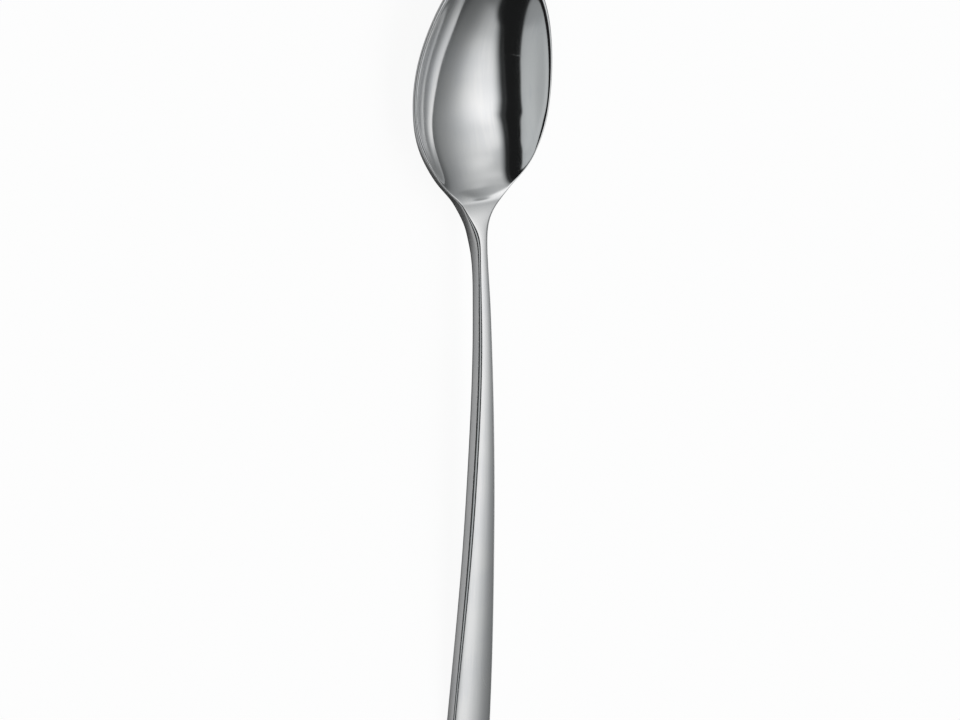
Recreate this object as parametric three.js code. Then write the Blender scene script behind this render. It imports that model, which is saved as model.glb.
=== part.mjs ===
import * as THREE from 'three';

// A tablespoon: bowl, neck and handle forged from one strip of stainless steel, then ground and polished.
// Millimetres. +Y runs from the end of the handle to the tip of the bowl, +X is to the right and +Z is up.
// The spoon lies on the underside of its bowl and of its handle end, with the origin midway along it.

// Lengths along the spoon
const overallLength = 210;
const bowlFrontLength = 34; // from the widest chord to the tip
const bowlRearLength = 44; // from the widest chord back to the narrowest place of the neck
const hollowRearLength = 31.5; // from the widest chord back to where the hollow ends
const handleEndRound = 4.5; // length over which the handle's end is rounded off

// Widths
const bowlWidth = 42;
const neckWidth = 3.2;
const handleEndWidth = 12.2;

// Heights of the upper edge above the table
const hollowDepth = 8.7;
const bowlFloorThickness = 1.8;
const rimHeight = hollowDepth + bowlFloorThickness;
const tipHeight = 15.5;
const neckHeight = 8.75;
const archHeight = 11;

// Thickness of the metal at its edge
const rimThickness = 1.05;
const neckThickness = 4.7;
const handleThickness = 3.45;
const handleEndThickness = 2.9;

// Rounded edges and faces
const rimEdgeRadius = 0.45;
const handleEdgeRadius = 0.4; // at the handle's end
const rimLand = 0.25; // strip between the rounded edge and the hollow
const handleCrown = 1.1; // rise of the handle's upper face at its middle, near the end
const creaseReach = 3; // length before the hollow's rear crease that its steep heel takes
const creaseSoftness = 0.25; // length over which the crease itself is rounded
const bowlFootSink = 0.2; // how far the round underside is ground away to a flat foot
const handleFootSink = 0.3;

// Faces of the mesh
const columns = 24;
const edgeSteps = 3;
const endCapRows = 3;
const handleRows = 34;
const neckRows = 8;
const creaseRows = 10;
const bowlRearRows = 20;
const bowlFrontRows = 16;

// Places along Y
const tipPlace = overallLength / 2;
const endPlace = -overallLength / 2;
const widestPlace = tipPlace - bowlFrontLength;
const neckPlace = widestPlace - bowlRearLength;
const handleLength = neckPlace - endPlace;
const capPlace = endPlace + handleEndRound;
const hollowEndPlace = widestPlace - hollowRearLength;

// Half width of the handle: share of the way from neck to end, share of the growth in width
const handleWidthShares = [
  [1, 1], [0.81, 0.835], [0.62, 0.615], [0.43, 0.41], [0.28, 0.238], [0.165, 0.128], [0.08, 0.062],
];
// Half width of the bowl behind its widest chord: share of the way back, share of the width over the neck
const bowlWidthShares = [
  [1, 0], [0.91, 0.013], [0.795, 0.09], [0.68, 0.256], [0.57, 0.513], [0.455, 0.72], [0.34, 0.865],
  [0.227, 0.95], [0.114, 0.989], [0, 1], [-0.114, 0.984],
];
// Height of the upper edge: share of the way, share of the rise between two named heights
const archCrestShare = 0.2; // of the handle's length, from the neck
const archFallShares = [[1, 0], [0.716, 0.431], [0.432, 0.774], [0.195, 0.95]];
const archRiseShares = [[0, 1], [0.526, 0.733], [0.715, 0.555], [0.851, 0.369]];
const neckDipShare = 0.76; // of the bowl's rear length, from the widest chord
const rimRiseShares = [[0, 0], [0.13, 0.36], [0.28, 0.9], [0.45, 0.88], [0.7, 0.74], [1, 1]];
const tipRiseShares = [[0.29, 0.26], [0.5, 0.53], [1, 1]];
// Thickness of the handle: share of the way from neck to end, share of its swell over the end
const handleSwellShares = [[1, 0], [0.73, 0.25], [0.47, 0.85], [0.24, 1], [0.09, 0.6], [0.04, 0.6]];
// Thickness round the neck: share of the way back from the widest chord, share of the swell over the rim
const neckSwellShares = [
  [1, 0.76], [0.91, 1], [0.82, 0.94], [0.705, 0.85], [0.57, 0.64], [0.41, 0.34], [0.25, 0.12], [0, 0],
];
// Radius of the rounded edge: share of the way from neck to end, then of the way back from the widest chord,
// each with a factor on the named radius
const handleEdgeShares = [
  [1, 1], [0.93, 1.1], [0.72, 1.7], [0.55, 2.2], [0.2, 2.2], [0.12, 2], [0.05, 1.6],
];
const bowlEdgeShares = [[0.95, 1.8], [0.84, 2.4], [0.74, 1.4], [0.65, 1], [0, 1]];
// The bowl from the hollow's rear end, at nought, over the widest chord, at one, to the tip, just over two.
// Factors on the depth of the hollow and of the round underside
const hollowDepthShares = [
  [0.041, 0], [0.06, 0.47], [0.077, 0.745], [0.1, 1], [0.16, 1.25], [0.23, 1.255], [0.36, 1.095],
  [0.55, 0.945], [0.75, 0.97], [1, 1], [1.35, 1.06], [1.7, 1.115], [2.08, 1.02],
];
const bellyDepthShares = [
  [-0.14, 0], [-0.07, 0.1], [0.02, 0.45], [0.1, 0.8], [0.2, 0.97], [0.32, 0.985], [0.5, 0.94],
  [0.75, 0.97], [1, 1], [1.35, 1.06], [2.08, 1.06],
];
// Power of the hollow's curve across the bowl: 2 is a parabola, more makes a flatter floor and steeper walls
const hollowPowerShares = [[0.15, 1.81], [0.5, 1.81], [1, 1.91], [2.08, 2.05]];
// How softly the hollow's lip bends over, and how much fuller its walls stand than the curve alone
const lipSoftShares = [[0.15, 0.11], [0.35, 0.04], [0.5, 0.01], [1, 0.055], [2.08, 0.055]];
const wallSwellShares = [
  [0.04, -0.8], [0.15, 0.29], [0.25, 0.42], [0.35, 0.46], [0.5, 0.42], [0.7, 0.35], [1, 0.24], [2.08, -0.04],
];
// Land between the rounded edge and the hollow. Below nought the hollow runs out over the edge
const landShares = [[0.15, -8.2], [0.25, -4.4], [0.35, -1.5], [0.5, 0.8], [0.7, 0.9], [1, 0.8], [2.08, 0.8]];

// Shapes of the curves
const leastReachShare = 0.003;
const endRoundPower = 2.6; // 2 is an ellipse, more is squarer
const frontRoundPower = 1.9;
const crownPower = 2.2;
const capCornerAngle = THREE.MathUtils.degToRad(45);
const bowlCornerAngle = THREE.MathUtils.degToRad(50);

// A smooth curve through points given with rising places, as a natural cubic spline.
function smoothCurve(points) {
  const sorted = [...points].sort((a, b) => a[0] - b[0]);
  const place = sorted.map((point) => point[0]);
  const value = sorted.map((point) => point[1]);
  const last = sorted.length - 1;
  const bend = new Array(sorted.length).fill(0);
  const scratch = new Array(sorted.length).fill(0);
  for (let i = 1; i < last; i += 1) {
    const before = place[i] - place[i - 1];
    const after = place[i + 1] - place[i];
    const ratio = before / (before + after);
    const pivot = ratio * bend[i - 1] + 2;
    const turn = (value[i + 1] - value[i]) / after - (value[i] - value[i - 1]) / before;
    bend[i] = (ratio - 1) / pivot;
    scratch[i] = ((6 * turn) / (before + after) - ratio * scratch[i - 1]) / pivot;
  }
  for (let i = last - 1; i > 0; i -= 1) {
    bend[i] = bend[i] * bend[i + 1] + scratch[i];
  }
  return (where) => {
    let i = 0;
    while (i < last - 1 && where > place[i + 1]) i += 1;
    const step = place[i + 1] - place[i];
    const b = THREE.MathUtils.clamp((where - place[i]) / step, 0, 1);
    const a = 1 - b;
    const sag = ((a ** 3 - a) * bend[i] + (b ** 3 - b) * bend[i + 1]) * (step ** 2 / 6);
    return a * value[i] + b * value[i + 1] + sag;
  };
}

// Zero below, the value itself above, with a rounded corner between.
function softRamp(value, softness) {
  return (value + Math.sqrt(value * value + softness * softness)) / 2;
}

const between = (low, high, share) => low + (high - low) * share;

// Half width of the blank, before its two ends are rounded off
const sideHalfWidth = smoothCurve([
  ...handleWidthShares.map(([way, share]) => [
    neckPlace - way * handleLength, between(neckWidth, handleEndWidth, share) / 2,
  ]),
  ...bowlWidthShares.map(([way, share]) => [
    widestPlace - way * bowlRearLength, between(neckWidth, bowlWidth, share) / 2,
  ]),
]);

// Height of the upper edge along the spoon
const crestPlace = neckPlace - archCrestShare * handleLength;
const dipPlace = widestPlace - neckDipShare * bowlRearLength;
const edgeHeight = smoothCurve([
  ...archFallShares.map(([way, share]) => [
    between(crestPlace, endPlace, way), between(handleEndThickness - handleFootSink, archHeight, share),
  ]),
  ...archRiseShares.map(([way, share]) => [
    between(crestPlace, dipPlace, way), between(neckHeight, archHeight, share),
  ]),
  ...rimRiseShares.map(([way, share]) => [
    between(dipPlace, widestPlace, way), between(neckHeight, rimHeight, share),
  ]),
  ...tipRiseShares.map(([way, share]) => [
    between(widestPlace, tipPlace, way), between(rimHeight, tipHeight, share),
  ]),
]);

// Thickness of the metal at its edge along the spoon
const edgeThickness = smoothCurve([
  ...handleSwellShares.map(([way, share]) => [
    neckPlace - way * handleLength, between(handleEndThickness, handleThickness, share),
  ]),
  ...neckSwellShares.map(([way, share]) => [
    widestPlace - way * bowlRearLength, between(rimThickness, neckThickness, share),
  ]),
  [tipPlace, rimThickness],
]);

// Radius of the rounded edge along the spoon
const edgeRadius = smoothCurve([
  ...handleEdgeShares.map(([way, factor]) => [neckPlace - way * handleLength, factor * handleEdgeRadius]),
  ...bowlEdgeShares.map(([way, factor]) => [widestPlace - way * bowlRearLength, factor * rimEdgeRadius]),
]);

const overBowl = (shares) => smoothCurve(shares.map(([way, factor]) => [
  widestPlace + (way - 1) * hollowRearLength, factor,
]));
const hollowFactor = overBowl(hollowDepthShares);
const bellyFactor = overBowl(bellyDepthShares);
const hollowPower = overBowl(hollowPowerShares);
const lipSoftness = overBowl(lipSoftShares);
const wallSwell = overBowl(wallSwellShares);
const landShare = overBowl(landShares);
const creasePlace = widestPlace + (hollowDepthShares[0][0] - 1) * hollowRearLength;

// How deep a dish with the bowl's outline, drawn in by an inset, lies below its edge: 0 at the edge.
function openDish(x, y, inset) {
  const halfWidth = bowlWidth / 2 - inset;
  const ahead = Math.max(0, y - widestPlace) / (bowlFrontLength - inset);
  const side = (sideHalfWidth(y) - inset) / halfWidth;
  const reach = y > widestPlace ? 1 - ahead ** frontRoundPower : side * Math.abs(side);
  const softness = lipSoftness(y);
  const across = (x / halfWidth) ** 2;
  const within = softRamp(reach - across, softness) - softness / 2;
  const outToWall = Math.min(across / Math.max(reach, leastReachShare), 1);
  const inward = THREE.MathUtils.clamp(within * (1 + wallSwell(y) * outToWall), 0, 1);
  return 1 - (1 - inward) ** (hollowPower(y) / 2);
}

// The same dish as a share of its depth in the middle of the widest chord
const fullDish = openDish(0, widestPlace, rimEdgeRadius);
const dish = (x, y, inset) => openDish(x, y, inset) / fullDish;

// Place along the spoon as the hollow's depth follows it: it stops at the crease behind the bowl.
function heel(y) {
  return creasePlace + softRamp(y - creasePlace, creaseSoftness);
}

function upperHeight(x, y) {
  const fade = 1 - THREE.MathUtils.smoothstep(y, neckPlace, hollowEndPlace);
  const halfWidth = sideHalfWidth(y);
  const rounding = Math.max(0, 1 - Math.abs(x / halfWidth) ** crownPower);
  const crown = ((handleCrown * halfWidth * 2) / handleEndWidth) * rounding * fade;
  const inset = rimEdgeRadius + rimLand * landShare(y);
  return edgeHeight(y) + crown - hollowDepth * dish(x, y, inset) * hollowFactor(heel(y));
}

function lowerHeight(x, y) {
  const bellyDepth = rimHeight - rimThickness + bowlFootSink;
  const belly = bellyDepth * dish(x, y, rimEdgeRadius) * bellyFactor(y);
  return Math.max(0, edgeHeight(y) - edgeThickness(y) - belly);
}

// One side of the outline, from the middle of the handle's end round to the tip of the bowl.
function outlineSide() {
  const half = columns / 2;
  const points = [];
  const capPoint = (angle) => {
    const y = capPlace - handleEndRound * Math.sin(angle) ** (2 / endRoundPower);
    return [sideHalfWidth(Math.max(y, endPlace)) * Math.cos(angle) ** (2 / endRoundPower), y];
  };
  for (let i = 0; i < half; i += 1) {
    points.push(capPoint(between(Math.PI / 2, capCornerAngle, i / half)));
  }
  for (let i = 0; i < endCapRows; i += 1) {
    points.push(capPoint(capCornerAngle * (1 - i / endCapRows)));
  }
  const stretches = [
    [capPlace, neckPlace, handleRows],
    [neckPlace, creasePlace - creaseReach / 2, neckRows],
    [creasePlace - creaseReach / 2, creasePlace + creaseReach, creaseRows],
    [creasePlace + creaseReach, widestPlace, bowlRearRows],
  ];
  stretches.forEach(([start, stop, rows]) => {
    for (let i = 0; i < rows; i += 1) {
      const y = between(start, stop, i / rows);
      points.push([sideHalfWidth(y), y]);
    }
  });
  const bowlPoint = (angle) => {
    const y = widestPlace + bowlFrontLength * Math.sin(angle) ** (2 / frontRoundPower);
    return [(bowlWidth / 2) * Math.cos(angle), y];
  };
  for (let i = 0; i < bowlFrontRows; i += 1) {
    points.push(bowlPoint((bowlCornerAngle * i) / bowlFrontRows));
  }
  for (let i = 0; i <= half; i += 1) {
    points.push(bowlPoint(between(bowlCornerAngle, Math.PI / 2, i / half)));
  }
  points[0][0] = 0;
  points[points.length - 1][0] = 0;
  return points;
}

// The whole outline, anticlockwise from above, and the same outline drawn in by a share of the edge's radius.
function closedOutline() {
  const side = outlineSide();
  const left = side.slice(1, -1).reverse().map(([x, y]) => [-x, y]);
  return [...side, ...left];
}

function drawnIn(outline, share) {
  const count = outline.length;
  return outline.map(([x, y], i) => {
    const inset = share * edgeRadius(y);
    const [beforeX, beforeY] = outline[(i + count - 1) % count];
    const [afterX, afterY] = outline[(i + 1) % count];
    const along = Math.hypot(afterX - beforeX, afterY - beforeY);
    return [x - (inset * (afterY - beforeY)) / along, y + (inset * (afterX - beforeX)) / along];
  });
}

// Rows of points that fill an outline: the first and last row bend with the ends, the others run across.
function fillRows(outline) {
  const half = columns / 2;
  const rowCount = endCapRows + handleRows + neckRows + creaseRows + bowlRearRows + bowlFrontRows;
  const count = outline.length;
  const rows = [];
  for (let j = 0; j <= rowCount; j += 1) {
    const right = outline[half + j];
    const left = outline[count - half - j];
    const endPull = Math.max(0, 1 - j / endCapRows) ** 2;
    const tipPull = Math.max(0, 1 - (rowCount - j) / bowlFrontRows) ** 2;
    const row = [];
    for (let i = 0; i <= columns; i += 1) {
      const share = i / columns;
      const end = outline[(i - half + count) % count];
      const tip = outline[half + rowCount + columns - i];
      const cornerEnd = outline[half][1];
      const cornerTip = outline[half + rowCount][1];
      const endSpan = (2 * share - 1) * outline[half][0];
      const tipSpan = (2 * share - 1) * outline[half + rowCount][0];
      row.push([
        between(left[0], right[0], share) + endPull * (end[0] - endSpan) + tipPull * (tip[0] - tipSpan),
        between(left[1], right[1], share) + endPull * (end[1] - cornerEnd) + tipPull * (tip[1] - cornerTip),
      ]);
    }
    rows.push(row);
  }
  return rows;
}

function spoonGeometry() {
  const outline = closedOutline();
  const count = outline.length;
  const half = columns / 2;
  const positions = [];
  const faces = [];
  const addPoint = (x, y, z) => positions.push(x, y, z) / 3 - 1;

  // Rounded edge all the way round, in loops from the upper face to the lower face
  const loops = [];
  for (let k = 0; k <= edgeSteps; k += 1) {
    const turn = (k / edgeSteps) * (Math.PI / 2);
    loops.push(drawnIn(outline, 1 - Math.sin(turn)).map(([x, y]) => (
      addPoint(x, y, upperHeight(x, y) - edgeRadius(y) * (1 - Math.cos(turn)))
    )));
  }
  for (let k = edgeSteps; k >= 0; k -= 1) {
    const turn = (k / edgeSteps) * (Math.PI / 2);
    loops.push(drawnIn(outline, 1 - Math.sin(turn)).map(([x, y]) => (
      addPoint(x, y, lowerHeight(x, y) + edgeRadius(y) * (1 - Math.cos(turn)))
    )));
  }
  for (let k = 0; k + 1 < loops.length; k += 1) {
    for (let i = 0; i < count; i += 1) {
      const next = (i + 1) % count;
      faces.push([loops[k][i], loops[k + 1][i], loops[k + 1][next]]);
      faces.push([loops[k][i], loops[k + 1][next], loops[k][next]]);
    }
  }

  // Upper and lower faces, which share their border points with the first and the last loop
  const rows = fillRows(drawnIn(outline, 1));
  const lastRow = rows.length - 1;
  const borderIndex = (j, i) => {
    if (j === 0) return (i - half + count) % count;
    if (j === lastRow) return half + lastRow + columns - i;
    return i === 0 ? count - half - j : half + j;
  };
  const addFace = (height, loop, facesUp) => {
    const grid = rows.map((row, j) => row.map(([x, y], i) => {
      const onBorder = j === 0 || j === lastRow || i === 0 || i === columns;
      return onBorder ? loop[borderIndex(j, i)] : addPoint(x, y, height(x, y));
    }));
    for (let j = 0; j < lastRow; j += 1) {
      for (let i = 0; i < columns; i += 1) {
        const [a, b, c, d] = [grid[j][i], grid[j][i + 1], grid[j + 1][i + 1], grid[j + 1][i]];
        const quad = i < half ? [[a, b, c], [a, c, d]] : [[a, b, d], [b, c, d]];
        quad.forEach((face) => faces.push(facesUp ? face : face.reverse()));
      }
    }
  };
  addFace(upperHeight, loops[0], true);
  addFace(lowerHeight, loops[loops.length - 1], false);

  const geometry = new THREE.BufferGeometry();
  geometry.setAttribute('position', new THREE.Float32BufferAttribute(positions, 3));
  geometry.setIndex(faces.flat());
  geometry.computeVertexNormals();
  return geometry;
}

const polishedSteel = new THREE.MeshStandardMaterial({ color: 0xc9cacc, roughness: 0.12, metalness: 1 });

const spoon = new THREE.Mesh(spoonGeometry(), polishedSteel);
spoon.name = 'spoon';

const tablespoon = new THREE.Group();
tablespoon.add(spoon);

export default tablespoon;
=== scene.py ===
import math

import bpy
from bpy.props import FloatProperty, FloatVectorProperty, PointerProperty
from mathutils import Matrix, Vector


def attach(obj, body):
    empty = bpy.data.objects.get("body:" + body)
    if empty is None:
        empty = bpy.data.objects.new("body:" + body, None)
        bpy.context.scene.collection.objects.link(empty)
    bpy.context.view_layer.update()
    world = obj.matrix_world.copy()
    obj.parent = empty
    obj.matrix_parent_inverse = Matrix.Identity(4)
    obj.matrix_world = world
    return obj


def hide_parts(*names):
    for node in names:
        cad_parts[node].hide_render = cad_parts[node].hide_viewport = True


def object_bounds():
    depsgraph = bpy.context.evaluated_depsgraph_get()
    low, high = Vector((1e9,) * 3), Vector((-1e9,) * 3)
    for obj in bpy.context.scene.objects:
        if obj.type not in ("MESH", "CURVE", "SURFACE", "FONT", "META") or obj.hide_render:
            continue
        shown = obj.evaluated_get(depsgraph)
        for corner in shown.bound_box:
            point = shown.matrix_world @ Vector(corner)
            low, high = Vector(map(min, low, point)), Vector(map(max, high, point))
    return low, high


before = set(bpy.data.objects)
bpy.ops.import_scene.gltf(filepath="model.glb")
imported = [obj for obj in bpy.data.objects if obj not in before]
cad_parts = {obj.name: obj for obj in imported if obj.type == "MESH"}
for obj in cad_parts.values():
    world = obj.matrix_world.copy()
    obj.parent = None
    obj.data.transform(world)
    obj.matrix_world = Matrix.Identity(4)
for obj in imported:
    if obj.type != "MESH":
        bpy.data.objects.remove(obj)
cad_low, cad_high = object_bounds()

bl_info = {
    "name": "Tablespoon",
    "version": (1, 0, 0),
    "blender": (4, 5, 0),
    "location": "3D View > Sidebar > Tablespoon",
    "description": "Models a polished steel tablespoon and the studio round it",
    "category": "Add Mesh",
}

# Metres. +Y runs from the end of the handle to the tip of the bowl, +X is to the right and +Z is up.
# The spoon lies on the underside of its bowl and of its handle end, with the origin midway along it.

# Faces of the spoon before its mesh is subdivided
COLUMNS = 48
END_ROWS = 6
HANDLE_ROWS = 50
NECK_ROWS = 18
CREASE_ROWS = 16
BOWL_ROWS = 46
FRONT_ROWS = 34
ROWS = END_ROWS + HANDLE_ROWS + NECK_ROWS + CREASE_ROWS + BOWL_ROWS + FRONT_ROWS
EDGE_STEPS = 4
WALL_STEPS = 2 * EDGE_STEPS + 1

# Half width of the handle: share of the way from neck to end, share of the growth in width
HANDLE_WIDTH_SHARES = (
    (1, 1), (0.81, 0.835), (0.62, 0.615), (0.43, 0.41), (0.28, 0.238), (0.165, 0.128), (0.08, 0.062),
)
# Half width of the bowl behind its widest chord: share of the way back, share of the width over the neck
BOWL_WIDTH_SHARES = (
    (1, 0), (0.91, 0.013), (0.795, 0.09), (0.68, 0.256), (0.57, 0.513), (0.455, 0.72), (0.34, 0.865),
    (0.227, 0.95), (0.114, 0.989), (0, 1), (-0.114, 0.984),
)
# Height of the upper edge: share of the way, share of the rise between two named heights
ARCH_CREST_SHARE = 0.2
ARCH_FALL_SHARES = ((1, 0), (0.716, 0.431), (0.432, 0.774), (0.195, 0.95))
ARCH_RISE_SHARES = ((0, 1), (0.526, 0.733), (0.715, 0.555), (0.851, 0.369))
NECK_DIP_SHARE = 0.76
RIM_RISE_SHARES = ((0, 0), (0.13, 0.36), (0.28, 0.9), (0.45, 0.88), (0.7, 0.74), (1, 1))
TIP_RISE_SHARES = ((0.29, 0.26), (0.5, 0.53), (1, 1))
# Thickness of the handle: share of the way from neck to end, share of its swell over the end
HANDLE_SWELL_SHARES = ((1, 0), (0.73, 0.25), (0.47, 0.85), (0.24, 1), (0.09, 0.6), (0.04, 0.6))
# Thickness round the neck: share of the way back from the widest chord, share of the swell over the rim
NECK_SWELL_SHARES = (
    (1, 0.76), (0.91, 1), (0.82, 0.94), (0.705, 0.85), (0.57, 0.64), (0.41, 0.34), (0.25, 0.12), (0, 0),
)
# Radius of the rounded edge: share of the way from neck to end, then of the way back from the widest chord,
# each with a factor on the named radius
HANDLE_EDGE_SHARES = (
    (1, 1), (0.93, 1.1), (0.72, 1.7), (0.55, 2.2), (0.2, 2.2), (0.12, 2), (0.05, 1.6),
)
BOWL_EDGE_SHARES = ((0.95, 1.8), (0.84, 2.4), (0.74, 1.4), (0.65, 1), (0, 1))
# The bowl from the hollow's rear end, at nought, over the widest chord, at one, to the tip, just over two.
# Factors on the depth of the hollow and of the round underside
HOLLOW_DEPTH_SHARES = (
    (0.041, 0), (0.06, 0.47), (0.077, 0.745), (0.1, 1), (0.16, 1.25), (0.23, 1.255), (0.36, 1.095),
    (0.55, 0.945), (0.75, 0.97), (1, 1), (1.35, 1.06), (1.7, 1.115), (2.08, 1.02),
)
BELLY_DEPTH_SHARES = (
    (-0.14, 0), (-0.07, 0.1), (0.02, 0.45), (0.1, 0.8), (0.2, 0.97), (0.32, 0.985), (0.5, 0.94),
    (0.75, 0.97), (1, 1), (1.35, 1.06), (2.08, 1.06),
)
# Power of the hollow's curve across the bowl: 2 is a parabola, more makes a flatter floor and steeper walls
HOLLOW_POWER_SHARES = ((0.15, 1.81), (0.5, 1.81), (1, 1.91), (2.08, 2.05))
# How softly the hollow's lip bends over, and how much fuller its walls stand than the curve alone
LIP_SOFT_SHARES = ((0.15, 0.11), (0.35, 0.04), (0.5, 0.01), (1, 0.055), (2.08, 0.055))
WALL_SWELL_SHARES = (
    (0.04, -0.8), (0.15, 0.29), (0.25, 0.42), (0.35, 0.46), (0.5, 0.42), (0.7, 0.35), (1, 0.24),
    (2.08, -0.04),
)
# Land between the rounded edge and the hollow. Below nought the hollow runs out over the edge
LAND_SHARES = (
    (0.15, -8.2), (0.25, -4.4), (0.35, -1.5), (0.5, 0.8), (0.7, 0.9), (1, 0.8), (2.08, 0.8),
)

# Shapes of the curves
LEAST_REACH_SHARE = 0.003
END_ROUND_POWER = 2.6
FRONT_ROUND_POWER = 1.9
CROWN_POWER = 2.2
END_CORNER = math.radians(45)
BOWL_CORNER = math.radians(50)

# Directions that the fine scratches run in, as turns from the spoon's length
SCRATCH_TURNS = (math.radians(8), math.radians(-25), math.radians(62), math.radians(-77))
# From where to where on the clouds' scale the metal is dulled
DULL_SHARES = (0.4, 0.65)
# Octaves of the noise in the clouds and in the hairlines
CLOUD_DETAIL = 3
HAIR_DETAIL = 2
# Brings the hairlines' middle value, a half, up to one where they shade the clouds
HAIR_LIFT = 0.5
WHITE = (1, 1, 1)

# The studio's light by direction: degrees, then a share of the light's level.
# Across is 0 straight up and grows to the right. Along is 0 straight up and grows towards the tip.
KEY_START_SHARES = (
    (-14.5, 0), (-13, 0.028), (-10.5, 0.02), (-6, 0.342), (-2, 0.748), (2, 0.968), (6, 1),
)
KEY_END_SHARES = (
    (18, 1), (26, 0.888), (34, 0.726), (42, 0.528), (50, 0.382), (58, 0.291), (70, 0.212),
    (90, 0.08), (120, 0.1),
)
KEY_ALONG_SHARES = (
    (-90, 0.045), (-62, 0.13), (-54, 0.39), (-46, 0.516), (-38, 0.68), (-28, 0.795), (-18, 0.87),
    (10, 1), (18, 0.745), (24, 0.447), (34, 0.42), (50, 0.2), (90, 0.17),
)
FLAG_RIGHT_SHARES = (
    (-90, 1), (-60, 0.84), (-50, 0.38), (-34, 0.16), (-22, 0.067), (-10, 0.037), (5, 0.12),
    (15, 0.218), (25, 0.2), (35, 0.02), (50, 0.19), (90, 0.19),
)
FLAG_LEFT_SHARES = (
    (-90, 0.82), (-60, 0.6), (-35, 0.65), (-15, 0.83), (5, 0.8), (18, 0.3), (30, 1), (90, 0.47),
)
WALL_ACROSS_SHARES = (
    (-120, 0.03), (-80, 0.05), (-57, 0.06), (-53, 0.72), (-46, 0.867), (-38, 1), (-20, 0.57),
)
WALL_ALONG_SHARES = (
    (-90, 0.7), (-58, 0.53), (-48, 0.804), (-34, 0.887), (-10, 0.961), (20, 1), (30, 1), (90, 1),
)


def length(name, description, default):
    """A property for one length of the spoon or of its studio."""
    return FloatProperty(
        name=name, description=description, default=default, min=0, precision=5, unit="LENGTH",
    )


def fine_length(name, description, default):
    """A property for a depth far below a millimetre."""
    return FloatProperty(name=name, description=description, default=default, min=0, precision=6)


def share(name, description, default):
    """A property for a value between nought and one."""
    return FloatProperty(
        name=name, description=description, default=default, min=0, max=1, subtype="FACTOR",
    )


def angle(name, description, degrees):
    """A property for an angle."""
    return FloatProperty(name=name, description=description, default=math.radians(degrees), subtype="ANGLE")


def level(name, description, default):
    """A property for a brightness, where one is white."""
    return FloatProperty(name=name, description=description, default=default, min=0, precision=3)


def degrees(name, description, default):
    """A property for a direction in the studio, in degrees."""
    return FloatProperty(name=name, description=description, default=default, precision=1)


def colour(name, description, default):
    """A property for a colour."""
    return FloatVectorProperty(
        name=name, description=description, default=default, min=0, max=1, subtype="COLOR",
    )


class SpoonSizes(bpy.types.PropertyGroup):
    """Lengths of the spoon. The outer three come from the frame."""
    overall_length: length("Length", "From the handle's end to the bowl's tip", cad_high.y - cad_low.y)
    bowl_width: length("Bowl width", "Widest chord of the bowl", cad_high.x - cad_low.x)
    tip_height: length("Tip height", "Height of the bowl's tip above the table", cad_high.z)
    bowl_front: length("Bowl front", "From the widest chord to the tip", 0.034)
    bowl_rear: length("Bowl rear", "From the widest chord to the neck", 0.044)
    hollow_rear: length("Hollow rear", "From the widest chord to the hollow's rear end", 0.0315)
    end_round: length("End round", "Length over which the handle's end is rounded", 0.0045)
    neck_width: length("Neck width", "Narrowest width, between handle and bowl", 0.0032)
    handle_width: length("Handle width", "Width at the handle's end", 0.0122)
    hollow_depth: length("Hollow depth", "From the rim down to the bowl's floor", 0.0087)
    bowl_floor: length("Bowl floor", "Thickness of the metal under the hollow", 0.0018)
    neck_height: length("Neck height", "Height of the upper edge at its dip behind the bowl", 0.00875)
    arch_height: length("Arch height", "Height of the upper edge at the handle's crest", 0.011)
    rim_thickness: length("Rim thickness", "Thickness of the bowl's rim", 0.00105)
    neck_thickness: length("Neck thickness", "Thickness at the neck", 0.0047)
    handle_thickness: length("Handle thickness", "Thickness along the handle", 0.00345)
    end_thickness: length("End thickness", "Thickness at the handle's end", 0.0029)
    rim_radius: length("Rim radius", "Radius of the bowl's rounded edge", 0.00045)
    handle_radius: length("Handle radius", "Radius of the handle's rounded edge at its end", 0.0004)
    rim_land: length("Rim land", "Strip between the rounded edge and the hollow", 0.00025)
    crease_reach: length("Crease reach", "Length of the hollow's steep heel before its rear crease", 0.003)
    crease_softness: length("Crease softness", "Length over which the crease itself is rounded", 0.00025)
    handle_crown: length("Handle crown", "Rise of the handle's upper face at its middle", 0.0011)
    bowl_foot: length("Bowl foot", "How far the round underside is ground flat", 0.0002)
    handle_foot: length("Handle foot", "How far the handle's end is ground flat", 0.0003)


class SteelFinish(bpy.types.PropertyGroup):
    """Colour and polish of the steel."""
    steel: colour("Steel", "Colour of the polished metal", (0.8, 0.8, 0.8))
    dulled_steel: colour("Dulled steel", "Colour where handling has dulled the metal", (0.765, 0.77, 0.78))
    bowl_roughness: share("Bowl roughness", "Roughness of the mirror-polished bowl", 0.085)
    handle_roughness: share("Handle roughness", "Roughness of the softer polish on the handle", 0.16)
    cloud_size: length("Cloud size", "Size of the faint clouds in the polish", 0.012)
    cloud_roughness: share("Cloud roughness", "How much the clouds change the roughness", 0.05)
    hair_width: length("Hair width", "Width of the hairlines that polishing left along the spoon", 0.0003)
    hair_length: length("Hair length", "Length of the hairlines", 0.009)
    hair_depth: fine_length("Hair depth", "Depth of the hairlines", 0.00000015)
    hair_roughness: share("Hair roughness", "How much the hairlines change the roughness", 0.05)
    scratch_width: length("Scratch width", "Width of the fine scratches", 0.00012)
    scratch_length: length("Scratch length", "Length of the fine scratches", 0.003)
    scratch_spacing: length("Scratch spacing", "Distance from one scratch to the next beside it", 0.0016)
    scratch_depth: fine_length("Scratch depth", "Depth of the fine scratches", 0.0000003)
    scratch_roughness: share("Scratch roughness", "How much a scratch adds to the roughness", 0.18)


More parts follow.
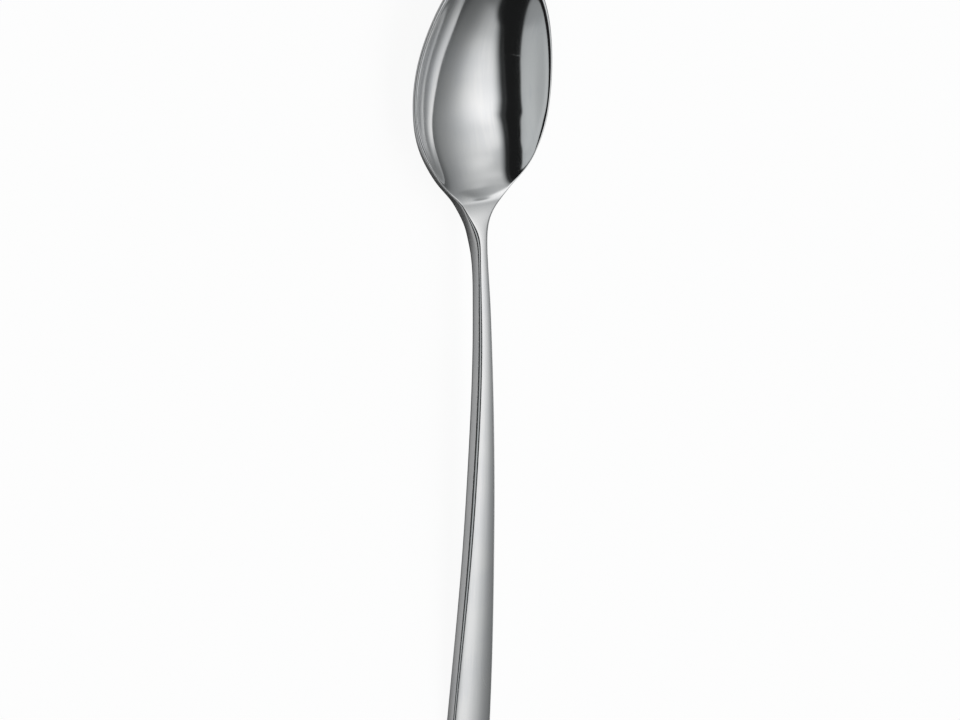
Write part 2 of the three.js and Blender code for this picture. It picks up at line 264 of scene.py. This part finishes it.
class Studio(bpy.types.PropertyGroup):
    """Floor, light and camera."""
    floor_colour: colour("Floor", "Colour of the pale floor", (0.85, 0.85, 0.85))
    floor_size: length("Floor size", "Side of the square floor", 16)
    floor_white: level("Floor white", "Brightness of the background without the floor's own light", 0.93)
    floor_shade: share("Floor shade", "Share of the floor's own light that the background shows", 0.18)
    near_floor: length("Near floor", "Out to where the metal sees the floor in its own light", 0.16)
    far_floor: length("Far floor", "From where on the metal sees the white background", 0.4)
    # Painted shade: beside the spoon, the floor that the metal sees is darkened by a set depth, standing in
    # for the spoon's shadow
    painted_shade_start: length("Shade start", "From the spoon out to where its shade on the floor is darkest", 0.002)
    painted_shade_end: length("Shade end", "How far beside the spoon that shade ends", 0.009)
    painted_shade_depth: share("Shade depth", "How dark the metal sees the floor in that shade", 0.7)
    floor_gleam: share("Floor gleam", "Share of the white background seen beside the shade", 0.2)
    side_light: colour("Side light", "Colour of the weaker, cooler light to the sides", (0.95, 0.99, 1))
    key_level: level("Key light", "Brightness of the wide key light", 1.116)
    wall_level: level("Wall", "Brightness of the pale wall on the left", 0.562)
    flag_level: level("Flag", "Brightness of the black flag", 0.012)
    flag_left: degrees("Flag left edge", "Where the flag ends and the wall begins, towards the tip", -22)
    flag_widening: degrees("Flag widening", "How far its left edge swings out towards the handle", -8.5)
    flag_slant: degrees("Flag slant", "How far the flag's right edge swings out towards the handle", 32)
    wall_end: degrees("Wall end", "How far the wall reaches towards the tip", 28.5)
    wall_softness: degrees("Wall softness", "Half the width of the wall's soft edges", 1)
    view_lean: angle("Lean", "How far the camera leans to the left of upright", 35)
    view_tilt: angle("Tilt", "How far the camera leans towards the tip", 13.5)
    view_roll: angle("Roll", "Turn of the camera about its own axis", 0.25)
    camera_distance: length("Camera distance", "From the spoon to the camera", 6)
    field_width: length("Field width", "Width that the picture takes in at the spoon", 0.24)
    aim_along: length("Aim along", "Place along the spoon at the middle of the view", 0.001)
    aim_height: length("Aim height", "Height at the middle of the view", 0.00935)
    aim_left: length("Aim left", "How far the view's middle lies left of that place", 0.00061)
    aim_down: length("Aim down", "How far the view's middle lies below that place", 0.00075)


def between(low, high, part):
    return low + (high - low) * part


def smooth_step(value, low, high):
    part = min(max((value - low) / (high - low), 0), 1)
    return part * part * (3 - 2 * part)


def soft_ramp(value, softness):
    """Zero below, the value itself above, with a rounded corner between."""
    return (value + math.hypot(value, softness)) / 2


def smooth_curve(points):
    """A natural cubic spline through points of place and value."""
    points = sorted(points)
    places = [place for place, value in points]
    values = [value for place, value in points]
    last = len(points) - 1
    bends = [0.0] * len(points)
    pulls = [0.0] * len(points)
    for i in range(1, last):
        before = places[i] - places[i - 1]
        after = places[i + 1] - places[i]
        ratio = before / (before + after)
        pivot = ratio * bends[i - 1] + 2
        turn = (values[i + 1] - values[i]) / after - (values[i] - values[i - 1]) / before
        bends[i] = (ratio - 1) / pivot
        pulls[i] = (6 * turn / (before + after) - ratio * pulls[i - 1]) / pivot
    for i in range(last - 1, 0, -1):
        bends[i] = bends[i] * bends[i + 1] + pulls[i]

    def value_at(place):
        i = 0
        while i < last - 1 and place > places[i + 1]:
            i += 1
        step = places[i + 1] - places[i]
        b = min(max((place - places[i]) / step, 0), 1)
        a = 1 - b
        sag = ((a ** 3 - a) * bends[i] + (b ** 3 - b) * bends[i + 1]) * step ** 2 / 6
        return a * values[i] + b * values[i + 1] + sag

    return value_at


class SpoonShape:
    """The spoon's plan, heights and thicknesses, worked out from its sizes."""

    def __init__(self, sizes):
        self.sizes = sizes
        self.tip = sizes.overall_length / 2
        self.end = -sizes.overall_length / 2
        self.widest = self.tip - sizes.bowl_front
        self.neck = self.widest - sizes.bowl_rear
        self.cap = self.end + sizes.end_round
        self.hollow_end = self.widest - sizes.hollow_rear
        self.handle_length = self.neck - self.end
        self.rim_height = sizes.hollow_depth + sizes.bowl_floor
        self.half_width = smooth_curve(self.width_points())
        self.edge_height = smooth_curve(self.height_points())
        self.thickness = smooth_curve(self.thickness_points())
        self.edge_radius = smooth_curve(self.edge_points())
        self.hollow_factor = self.over_bowl(HOLLOW_DEPTH_SHARES)
        self.belly_factor = self.over_bowl(BELLY_DEPTH_SHARES)
        self.power = self.over_bowl(HOLLOW_POWER_SHARES)
        self.lip_softness = self.over_bowl(LIP_SOFT_SHARES)
        self.wall_swell = self.over_bowl(WALL_SWELL_SHARES)
        self.land_share = self.over_bowl(LAND_SHARES)
        self.crease = self.widest + (HOLLOW_DEPTH_SHARES[0][0] - 1) * sizes.hollow_rear
        self.full_dish = 1
        self.full_dish = self.dish(0, self.widest, sizes.rim_radius)

    def along_handle(self, shares, low, high):
        return [(self.neck - way * self.handle_length, between(low, high, part)) for way, part in shares]

    def along_bowl(self, shares, low, high):
        rear = self.sizes.bowl_rear
        return [(self.widest - way * rear, between(low, high, part)) for way, part in shares]

    def width_points(self):
        sizes = self.sizes
        handle = self.along_handle(HANDLE_WIDTH_SHARES, sizes.neck_width / 2, sizes.handle_width / 2)
        return handle + self.along_bowl(BOWL_WIDTH_SHARES, sizes.neck_width / 2, sizes.bowl_width / 2)

    def height_points(self):
        sizes = self.sizes
        crest = self.neck - ARCH_CREST_SHARE * self.handle_length
        dip = self.widest - NECK_DIP_SHARE * sizes.bowl_rear
        end_height = sizes.end_thickness - sizes.handle_foot
        stretches = (
            (ARCH_FALL_SHARES, crest, self.end, end_height, sizes.arch_height),
            (ARCH_RISE_SHARES, crest, dip, sizes.neck_height, sizes.arch_height),
            (RIM_RISE_SHARES, dip, self.widest, sizes.neck_height, self.rim_height),
            (TIP_RISE_SHARES, self.widest, self.tip, self.rim_height, sizes.tip_height),
        )
        return [
            (between(start, stop, way), between(low, high, part))
            for shares, start, stop, low, high in stretches
            for way, part in shares
        ]

    def thickness_points(self):
        sizes = self.sizes
        handle = self.along_handle(HANDLE_SWELL_SHARES, sizes.end_thickness, sizes.handle_thickness)
        bowl = self.along_bowl(NECK_SWELL_SHARES, sizes.rim_thickness, sizes.neck_thickness)
        return handle + bowl + [(self.tip, sizes.rim_thickness)]

    def over_bowl(self, shares):
        rear = self.sizes.hollow_rear
        return smooth_curve([(self.widest + (way - 1) * rear, factor) for way, factor in shares])

    def edge_points(self):
        sizes = self.sizes
        handle = self.along_handle(HANDLE_EDGE_SHARES, 0, sizes.handle_radius)
        return handle + self.along_bowl(BOWL_EDGE_SHARES, 0, sizes.rim_radius)

    def dish(self, x, y, inset):
        """Depth of a dish with the bowl's outline, drawn in by an inset, as a share of its full depth."""
        half = self.sizes.bowl_width / 2 - inset
        ahead = max(0, y - self.widest) / (self.sizes.bowl_front - inset)
        side = (self.half_width(y) - inset) / half
        reach = 1 - ahead ** FRONT_ROUND_POWER if y > self.widest else side * abs(side)
        softness = self.lip_softness(y)
        inward = soft_ramp(reach - (x / half) ** 2, softness) - softness / 2
        out_to_wall = min((x / half) ** 2 / max(reach, LEAST_REACH_SHARE), 1)
        inward = min(max(inward * (1 + self.wall_swell(y) * out_to_wall), 0), 1)
        return (1 - (1 - inward) ** (self.power(y) / 2)) / self.full_dish

    def heel(self, y):
        """Place along the spoon that the hollow's depth follows. It stops at the crease."""
        return self.crease + soft_ramp(y - self.crease, self.sizes.crease_softness)

    def upper(self, x, y):
        """Height of the upper face."""
        sizes = self.sizes
        half = self.half_width(y)
        fade = 1 - smooth_step(y, self.neck, self.hollow_end)
        rounding = max(0, 1 - abs(x / half) ** CROWN_POWER)
        crown = sizes.handle_crown * half * 2 / sizes.handle_width * rounding * fade
        inset = sizes.rim_radius + sizes.rim_land * self.land_share(y)
        hollow = sizes.hollow_depth * self.dish(x, y, inset) * self.hollow_factor(self.heel(y))
        return self.edge_height(y) + crown - hollow

    def lower(self, x, y):
        """Height of the underside."""
        sizes = self.sizes
        depth = self.rim_height - sizes.rim_thickness + sizes.bowl_foot
        belly = depth * self.dish(x, y, sizes.rim_radius) * self.belly_factor(y)
        return max(0, self.edge_height(y) - self.thickness(y) - belly)

    def outline_side(self):
        """One side of the plan, from the middle of the handle's end round to the tip of the bowl."""
        half = COLUMNS // 2
        quarter = math.pi / 2

        def end_point(turn):
            y = self.cap - self.sizes.end_round * math.sin(turn) ** (2 / END_ROUND_POWER)
            return self.half_width(y) * max(math.cos(turn), 0) ** (2 / END_ROUND_POWER), y

        def front_point(turn):
            y = self.widest + self.sizes.bowl_front * math.sin(turn) ** (2 / FRONT_ROUND_POWER)
            return self.sizes.bowl_width / 2 * math.cos(turn), y

        points = [end_point(between(quarter, END_CORNER, i / half)) for i in range(half)]
        points += [end_point(between(END_CORNER, 0, i / END_ROWS)) for i in range(END_ROWS)]
        reach = self.sizes.crease_reach
        stretches = (
            (self.cap, self.neck, HANDLE_ROWS),
            (self.neck, self.crease - reach / 2, NECK_ROWS),
            (self.crease - reach / 2, self.crease + reach, CREASE_ROWS),
            (self.crease + reach, self.widest, BOWL_ROWS),
        )
        straight = [between(start, stop, i / rows) for start, stop, rows in stretches for i in range(rows)]
        points += [(self.half_width(y), y) for y in straight]
        points += [front_point(between(0, BOWL_CORNER, i / FRONT_ROWS)) for i in range(FRONT_ROWS)]
        points += [front_point(between(BOWL_CORNER, quarter, i / half)) for i in range(half + 1)]
        points[0] = (0, points[0][1])
        points[-1] = (0, points[-1][1])
        return points

    def flat_outline(self):
        """The closed plan, anticlockwise from above, drawn in by the radius of the rounded edge."""
        right_side = self.outline_side()
        outline = right_side + [(-x, y) for x, y in reversed(right_side[1:-1])]
        count = len(outline)
        drawn_in = []
        for i, (x, y) in enumerate(outline):
            before = outline[i - 1]
            after = outline[(i + 1) % count]
            along = math.dist(before, after)
            inset = self.edge_radius(y)
            move_x = inset * (after[1] - before[1]) / along
            move_y = inset * (after[0] - before[0]) / along
            drawn_in.append((x - move_x, y + move_y))
        return drawn_in

    def plan_rows(self):
        """Rows of points that fill the plan: the first and last bend with the ends, the others run across."""
        outline = self.flat_outline()
        half = COLUMNS // 2
        count = len(outline)
        corner_end = outline[half]
        corner_tip = outline[half + ROWS]
        rows = []
        for j in range(ROWS + 1):
            right = outline[half + j]
            left = outline[(count - half - j) % count]
            end_pull = max(0, 1 - j / END_ROWS) ** 2
            tip_pull = max(0, 1 - (ROWS - j) / FRONT_ROWS) ** 2
            row = []
            for i in range(COLUMNS + 1):
                part = i / COLUMNS
                across = 2 * part - 1
                end = outline[(i - half) % count]
                tip = outline[half + ROWS + COLUMNS - i]
                x = between(left[0], right[0], part)
                x += end_pull * (end[0] - across * corner_end[0])
                x += tip_pull * (tip[0] - across * corner_tip[0])
                y = between(left[1], right[1], part)
                y += end_pull * (end[1] - corner_end[1]) + tip_pull * (tip[1] - corner_tip[1])
                row.append((x, y))
            rows.append(row)
        return rows


def add_blank(shape):
    """A flat strip of steel as long and as wide as the spoon, marked out in a grid."""
    sizes = shape.sizes
    bpy.ops.object.select_all(action="DESELECT")
    bpy.ops.mesh.primitive_grid_add(
        x_subdivisions=COLUMNS, y_subdivisions=ROWS, size=sizes.overall_length, calc_uvs=False,
        location=(0, 0, 0),
    )
    blank = bpy.context.object
    blank.name = "polished_spoon"
    blank.data.name = "polished_spoon"
    bpy.ops.object.mode_set(mode="EDIT")
    bpy.ops.mesh.select_all(action="SELECT")
    bpy.ops.transform.resize(value=(sizes.bowl_width / sizes.overall_length, 1, 1))
    bpy.ops.object.mode_set(mode="OBJECT")
    return blank


def cut_plan(blank, shape):
    """Cuts the strip to the spoon's plan, point by point of the grid."""
    rows = shape.plan_rows()
    sizes = shape.sizes
    for vertex in blank.data.vertices:
        column = round((vertex.co.x / sizes.bowl_width + 0.5) * COLUMNS)
        row = round((vertex.co.y / sizes.overall_length + 0.5) * ROWS)
        vertex.co.x, vertex.co.y = rows[row][column]


def close_underside(blank, shape):
    """Doubles the sheet, and bridges the two along their outlines with room for a rounded edge."""
    bpy.ops.object.mode_set(mode="EDIT")
    bpy.ops.mesh.select_all(action="SELECT")
    bpy.ops.mesh.duplicate()
    bpy.ops.transform.translate(value=(0, 0, -shape.sizes.rim_thickness))
    bpy.ops.mesh.flip_normals()
    bpy.ops.mesh.select_all(action="SELECT")
    bpy.ops.mesh.region_to_loop()
    bpy.ops.mesh.bridge_edge_loops(number_cuts=WALL_STEPS - 1, interpolation="LINEAR")
    bpy.ops.mesh.select_all(action="SELECT")
    bpy.ops.mesh.normals_make_consistent(inside=False)
    bpy.ops.mesh.select_all(action="DESELECT")
    bpy.ops.object.mode_set(mode="OBJECT")


def press(blank, shape):
    """Presses both faces to height and rolls the wall between them into a rounded edge."""
    outward = [vertex.normal.copy() for vertex in blank.data.vertices]
    for vertex, normal in zip(blank.data.vertices, outward):
        step = round(-vertex.co.z / shape.sizes.rim_thickness * WALL_STEPS)
        above = step <= EDGE_STEPS
        turn = math.pi / 2 * (step if above else WALL_STEPS - step) / EDGE_STEPS
        radius = shape.edge_radius(vertex.co.y)
        if turn > 0:
            side = Vector((normal.x, normal.y)).normalized() * radius * math.sin(turn)
            vertex.co.x += side.x
            vertex.co.y += side.y
        drop = radius * (1 - math.cos(turn))
        x, y = vertex.co.x, vertex.co.y
        vertex.co.z = shape.upper(x, y) - drop if above else shape.lower(x, y) + drop
    blank.data.update()


def finish_surface(piece):
    """One level of subdivision, applied, and smooth shading."""
    bpy.ops.object.modifier_add(type="SUBSURF")
    smooth = piece.modifiers[-1]
    smooth.levels = 1
    smooth.render_levels = 1
    bpy.ops.object.modifier_apply(modifier=smooth.name)
    bpy.ops.object.shade_smooth()


def node_value(tree, kind, *values, **settings):
    """Adds a node, links or sets its inputs in order, and gives its first output."""
    node = tree.nodes.new(kind)
    for name, setting in settings.items():
        setattr(node, name, setting)
    for socket, value in zip(node.inputs, values):
        if isinstance(value, bpy.types.NodeSocket):
            tree.links.new(value, socket)
        elif value is not None:
            socket.default_value = value
    return node.outputs[0]


def calc(tree, operation, *values):
    return node_value(tree, "ShaderNodeMath", *values, operation=operation)


def split(tree, vector):
    """The three outputs of a vector, by name."""
    return node_value(tree, "ShaderNodeSeparateXYZ", vector).node.outputs


def vector_length(tree, vector):
    return node_value(tree, "ShaderNodeVectorMath", vector, operation="LENGTH").node.outputs["Value"]


def soft_step(tree, value, low, high):
    """Nought at the low value and one at the high one, with a smooth rise between."""
    return node_value(
        tree, "ShaderNodeMapRange", value, low, high, 0.0, 1.0, interpolation_type="SMOOTHSTEP",
    )


def blend_colours(tree, part, first, second):
    """A colour that goes from the first to the second as a share grows."""
    node = tree.nodes.new("ShaderNodeMix")
    node.data_type = "RGBA"
    tree.links.new(part, node.inputs["Factor"])
    colours = [socket for socket in node.inputs if socket.type == "RGBA"]
    colours[0].default_value = (*first, 1)
    colours[1].default_value = (*second, 1)
    return next(socket for socket in node.outputs if socket.type == "RGBA")


def hairlines(tree, place, finish):
    """Noise drawn out along the spoon, as the polishing wheel leaves it."""
    scale = (1 / finish.hair_width, 1 / finish.hair_length, 1 / finish.hair_length)
    drawn_out = node_value(tree, "ShaderNodeMapping", place, None, None, scale)
    return node_value(tree, "ShaderNodeTexNoise", drawn_out, None, 1, HAIR_DETAIL)


def scratches(tree, place, finish, turn):
    """One along the middle of each fine scratch and nought beside it, for scratches turned by an angle."""
    stretch = finish.scratch_length / finish.scratch_width
    dense = 1 / finish.scratch_spacing
    scale = (dense, dense / stretch, dense / stretch)
    turned = node_value(tree, "ShaderNodeMapping", place, None, (0, 0, turn))
    drawn_out = node_value(tree, "ShaderNodeMapping", turned, None, None, scale)
    distance = node_value(tree, "ShaderNodeTexVoronoi", drawn_out, None, 1)
    return soft_step(tree, distance, finish.scratch_width / finish.scratch_spacing, 0)


def steel_material(finish, shape):
    """Stainless steel, mirror-polished in the bowl and softer on the handle, with hairlines and scratches."""
    material = bpy.data.materials.new("polished_steel")
    material.use_nodes = True
    tree = material.node_tree
    shader = tree.nodes["Principled BSDF"]
    shader.inputs["Metallic"].default_value = 1
    place = tree.nodes.new("ShaderNodeTexCoord").outputs["Object"]

    on_handle = soft_step(tree, split(tree, place)["Y"], shape.hollow_end, shape.neck)
    clouds = node_value(tree, "ShaderNodeTexNoise", place, None, 1 / finish.cloud_size, CLOUD_DETAIL)
    hairs = hairlines(tree, place, finish)
    marks = scratches(tree, place, finish, SCRATCH_TURNS[0])
    for turn in SCRATCH_TURNS[1:]:
        marks = calc(tree, "MAXIMUM", marks, scratches(tree, place, finish, turn))

    softer = finish.handle_roughness - finish.bowl_roughness
    even = finish.bowl_roughness - (finish.cloud_roughness + finish.hair_roughness) / 2
    roughness = calc(tree, "MULTIPLY_ADD", on_handle, softer, even)
    roughness = calc(tree, "MULTIPLY_ADD", clouds, finish.cloud_roughness, roughness)
    roughness = calc(tree, "MULTIPLY_ADD", hairs, finish.hair_roughness, roughness)
    roughness = calc(tree, "MULTIPLY_ADD", marks, finish.scratch_roughness, roughness)
    tree.links.new(roughness, shader.inputs["Roughness"])

    streaks = calc(tree, "ADD", hairs, HAIR_LIFT)
    tone = soft_step(tree, calc(tree, "MULTIPLY", clouds, streaks), *DULL_SHARES)
    steel = blend_colours(tree, tone, finish.steel, finish.dulled_steel)
    tree.links.new(steel, shader.inputs["Base Color"])

    relief = calc(tree, "MULTIPLY", hairs, finish.hair_depth / finish.scratch_depth)
    bump = tree.nodes.new("ShaderNodeBump")
    bump.inputs["Distance"].default_value = finish.scratch_depth
    tree.links.new(calc(tree, "SUBTRACT", relief, marks), bump.inputs["Height"])
    tree.links.new(bump.outputs["Normal"], shader.inputs["Normal"])
    return material


class TABLESPOON_OT_spoon(bpy.types.Operator):
    """Model the spoon as one closed piece of steel"""
    bl_idname = "tablespoon.spoon"
    bl_label = "Spoon"
    bl_options = {"REGISTER", "UNDO"}

    def execute(self, context):
        shape = SpoonShape(context.scene.tablespoon_sizes)
        spoon = add_blank(shape)
        cut_plan(spoon, shape)
        close_underside(spoon, shape)
        press(spoon, shape)
        finish_surface(spoon)
        spoon.data.materials.append(steel_material(context.scene.tablespoon_finish, shape))
        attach(spoon, "root")
        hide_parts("spoon")
        return {"FINISHED"}


def seen_directly(tree):
    """Whether light goes straight to the camera, and whether it goes there by metal or glass."""
    path = tree.nodes.new("ShaderNodeLightPath")
    mirrored = calc(tree, "MAXIMUM", path.outputs["Is Glossy Ray"], path.outputs["Is Transmission Ray"])
    return path.outputs["Is Camera Ray"], mirrored


def beside_spoon(tree, place, sizes):
    """Rough distance on the floor from the spoon: from a strip along it or from the bowl's oval."""
    parts = split(tree, place)
    across = calc(tree, "ABSOLUTE", parts["X"])
    along = calc(tree, "ABSOLUTE", parts["Y"])
    from_strip = calc(tree, "SUBTRACT", across, sizes.neck_width / 2)
    from_strip = calc(tree, "MAXIMUM", from_strip, calc(tree, "SUBTRACT", along, sizes.overall_length / 2))
    bowl_half = Vector((sizes.bowl_width / 2, (sizes.bowl_front + sizes.hollow_rear) / 2, 1))
    middle = sizes.overall_length / 2 - bowl_half.y
    moved = node_value(tree, "ShaderNodeVectorMath", place, (0, -middle, 0), operation="ADD")
    scaled = node_value(tree, "ShaderNodeVectorMath", moved, tuple(bowl_half), operation="DIVIDE")
    from_bowl = calc(tree, "MULTIPLY_ADD", vector_length(tree, scaled), bowl_half.x, -bowl_half.x)
    return calc(tree, "MINIMUM", from_strip, from_bowl)


def floor_material(studio, sizes):
    """A pale floor that looks white, with a faint shadow. Near the spoon, metal sees it in its own light,
    darkened further by painted shade beside the spoon.
    """
    material = bpy.data.materials.new("pale_floor")
    material.use_nodes = True
    tree = material.node_tree
    shader = tree.nodes["Principled BSDF"]
    shader.inputs["Base Color"].default_value = (*studio.floor_colour, 1)
    shader.inputs["Roughness"].default_value = 1
    place = tree.nodes.new("ShaderNodeTexCoord").outputs["Object"]
    far = soft_step(tree, vector_length(tree, place), studio.near_floor, studio.far_floor)
    # Nought close beside the spoon, where painted shade darkens the floor for the metal, and one beyond it
    past_painted_shade = soft_step(tree, beside_spoon(tree, place, sizes), studio.painted_shade_start, studio.painted_shade_end)
    far = calc(tree, "MAXIMUM", far, calc(tree, "MULTIPLY", past_painted_shade, studio.floor_gleam))
    camera, mirrored = seen_directly(tree)
    white = calc(tree, "MAXIMUM", camera, calc(tree, "MULTIPLY", mirrored, far))
    # Painted shade: for mirrored rays only, the floor beside the spoon is dimmed by this share
    shade = calc(tree, "MULTIPLY_ADD", past_painted_shade, -studio.painted_shade_depth, studio.painted_shade_depth)
    shade = calc(tree, "MULTIPLY", mirrored, shade)

    weakened = tree.nodes.new("ShaderNodeMixShader")
    covered = calc(tree, "MAXIMUM", calc(tree, "MULTIPLY", white, 1 - studio.floor_shade), shade)
    tree.links.new(covered, weakened.inputs[0])
    tree.links.new(shader.outputs[0], weakened.inputs[1])
    glow = tree.nodes.new("ShaderNodeEmission")
    tree.links.new(calc(tree, "MULTIPLY", white, studio.floor_white), glow.inputs["Strength"])
    both = tree.nodes.new("ShaderNodeAddShader")
    tree.links.new(weakened.outputs[0], both.inputs[0])
    tree.links.new(glow.outputs[0], both.inputs[1])
    tree.links.new(both.outputs[0], tree.nodes["Material Output"].inputs["Surface"])
    return material


def add_floor(studio, sizes):
    """A wide square floor under the spoon."""
    bpy.ops.object.select_all(action="DESELECT")
    bpy.ops.mesh.primitive_plane_add(size=studio.floor_size, location=(0, 0, 0))
    floor = bpy.context.object
    floor.name = "studio_floor"
    floor.data.materials.append(floor_material(studio, sizes))


def add_camera(studio):
    """A camera with a long lens at the photograph's viewing angle."""
    camera = bpy.data.objects.new("camera", bpy.data.cameras.new("camera"))
    bpy.context.scene.collection.objects.link(camera)
    bpy.context.scene.camera = camera
    camera.data.lens = camera.data.sensor_width * studio.camera_distance / studio.field_width
    lean, tilt = studio.view_lean, studio.view_tilt
    right = Vector((math.cos(lean), 0, math.sin(lean)))
    back = Vector((-math.sin(lean) * math.cos(tilt), math.sin(tilt), math.cos(lean) * math.cos(tilt)))
    turned = Matrix.Rotation(-studio.view_roll, 3, back)
    right = turned @ right
    up = back.cross(right)
    middle = Vector((0, studio.aim_along, studio.aim_height))
    aim = middle - right * studio.aim_left - up * studio.aim_down
    axes = Matrix((right, up, back)).transposed()
    camera.matrix_world = Matrix.Translation(aim + back * studio.camera_distance) @ axes.to_4x4()
    camera.data.clip_end = 3 * studio.camera_distance


def profile(tree, value, points):
    """A smooth curve of levels over a value, through given points."""
    low, high = points[0][0], points[-1][0]
    part = node_value(tree, "ShaderNodeMapRange", value, low, high, 0.0, 1.0)
    curve = tree.nodes.new("ShaderNodeFloatCurve")
    line = curve.mapping.curves[0]
    line.points[0].location = (0, points[0][1])
    line.points[1].location = (1, points[-1][1])
    for place, height in points[1:-1]:
        line.points.new((place - low) / (high - low), height)
    for point in line.points:
        point.handle_type = "AUTO_CLAMPED"
    curve.mapping.update()
    tree.links.new(part, curve.inputs["Value"])
    return curve.outputs[0]


def add_world(studio):
    """Soft light by direction: a wide key light, a black flag beside the camera and a pale wall."""
    world = bpy.data.worlds.new("studio_light")
    bpy.context.scene.world = world
    world.use_nodes = True
    tree = world.node_tree
    background = tree.nodes["Background"]
    direction = split(tree, node_value(tree, "ShaderNodeTexCoord"))
    across = calc(tree, "DEGREES", calc(tree, "ARCTAN2", direction["X"], direction["Z"]))
    along = calc(tree, "DEGREES", calc(tree, "ARCSINE", direction["Y"]))

    flag_right = profile(tree, along, FLAG_RIGHT_SHARES)
    moved = calc(tree, "SUBTRACT", across, calc(tree, "MULTIPLY", flag_right, studio.flag_slant))
    key_start = profile(tree, moved, KEY_START_SHARES)
    key_end = profile(tree, across, KEY_END_SHARES)
    key_rows = profile(tree, along, KEY_ALONG_SHARES)
    key = calc(tree, "MULTIPLY", calc(tree, "MULTIPLY", key_start, key_end), key_rows)
    flag_left = profile(tree, along, FLAG_LEFT_SHARES)
    flag_left = calc(tree, "MULTIPLY_ADD", flag_left, studio.flag_widening, studio.flag_left)
    soft = studio.wall_softness
    wall_side = soft_step(tree, calc(tree, "SUBTRACT", across, flag_left), soft, -soft)
    wall_front = soft_step(tree, along, studio.wall_end + soft, studio.wall_end - soft)
    wall_edge = calc(tree, "MULTIPLY", wall_side, wall_front)
    wall_rows = profile(tree, along, WALL_ALONG_SHARES)
    wall = calc(tree, "MULTIPLY", profile(tree, across, WALL_ACROSS_SHARES), wall_rows)
    light = calc(
        tree, "ADD", calc(tree, "MULTIPLY", key, studio.key_level),
        calc(tree, "MULTIPLY", calc(tree, "MULTIPLY", wall, wall_edge), studio.wall_level),
    )
    light = calc(tree, "ADD", light, studio.flag_level)
    camera, mirrored = seen_directly(tree)
    below = calc(tree, "LESS_THAN", direction["Z"], 0)
    white = calc(tree, "MAXIMUM", camera, calc(tree, "MULTIPLY", mirrored, below))
    tree.links.new(calc(tree, "MAXIMUM", light, white), background.inputs["Strength"])
    plain = calc(tree, "MAXIMUM", key, white)
    tree.links.new(blend_colours(tree, plain, studio.side_light, WHITE), background.inputs["Color"])


class TABLESPOON_OT_studio(bpy.types.Operator):
    """Set up the pale floor, the soft light and the camera"""
    bl_idname = "tablespoon.studio"
    bl_label = "Studio"
    bl_options = {"REGISTER", "UNDO"}

    def execute(self, context):
        studio = context.scene.tablespoon_studio
        add_floor(studio, context.scene.tablespoon_sizes)
        add_world(studio)
        add_camera(studio)
        context.scene.view_settings.view_transform = "Standard"
        return {"FINISHED"}


class TABLESPOON_PT_panel(bpy.types.Panel):
    """Sizes, finish and studio, with a button for each step"""
    bl_idname = "TABLESPOON_PT_panel"
    bl_label = "Tablespoon"
    bl_space_type = "VIEW_3D"
    bl_region_type = "UI"
    bl_category = "Tablespoon"

    def draw(self, context):
        scene = context.scene
        for group in (scene.tablespoon_sizes, scene.tablespoon_finish, scene.tablespoon_studio):
            box = self.layout.box()
            for name in group.__annotations__:
                box.prop(group, name)
        for operator in OPERATORS:
            self.layout.operator(operator.bl_idname)


OPERATORS = (TABLESPOON_OT_studio, TABLESPOON_OT_spoon)
CLASSES = (SpoonSizes, SteelFinish, Studio, *OPERATORS, TABLESPOON_PT_panel)


def register():
    for cls in CLASSES:
        bpy.utils.register_class(cls)
    bpy.types.Scene.tablespoon_sizes = PointerProperty(type=SpoonSizes)
    bpy.types.Scene.tablespoon_finish = PointerProperty(type=SteelFinish)
    bpy.types.Scene.tablespoon_studio = PointerProperty(type=Studio)


def unregister():
    del bpy.types.Scene.tablespoon_studio
    del bpy.types.Scene.tablespoon_finish
    del bpy.types.Scene.tablespoon_sizes
    for cls in reversed(CLASSES):
        bpy.utils.unregister_class(cls)


def main():
    register()
    bpy.ops.tablespoon.studio()
    bpy.ops.tablespoon.spoon()


if __name__ == "__main__":
    main()
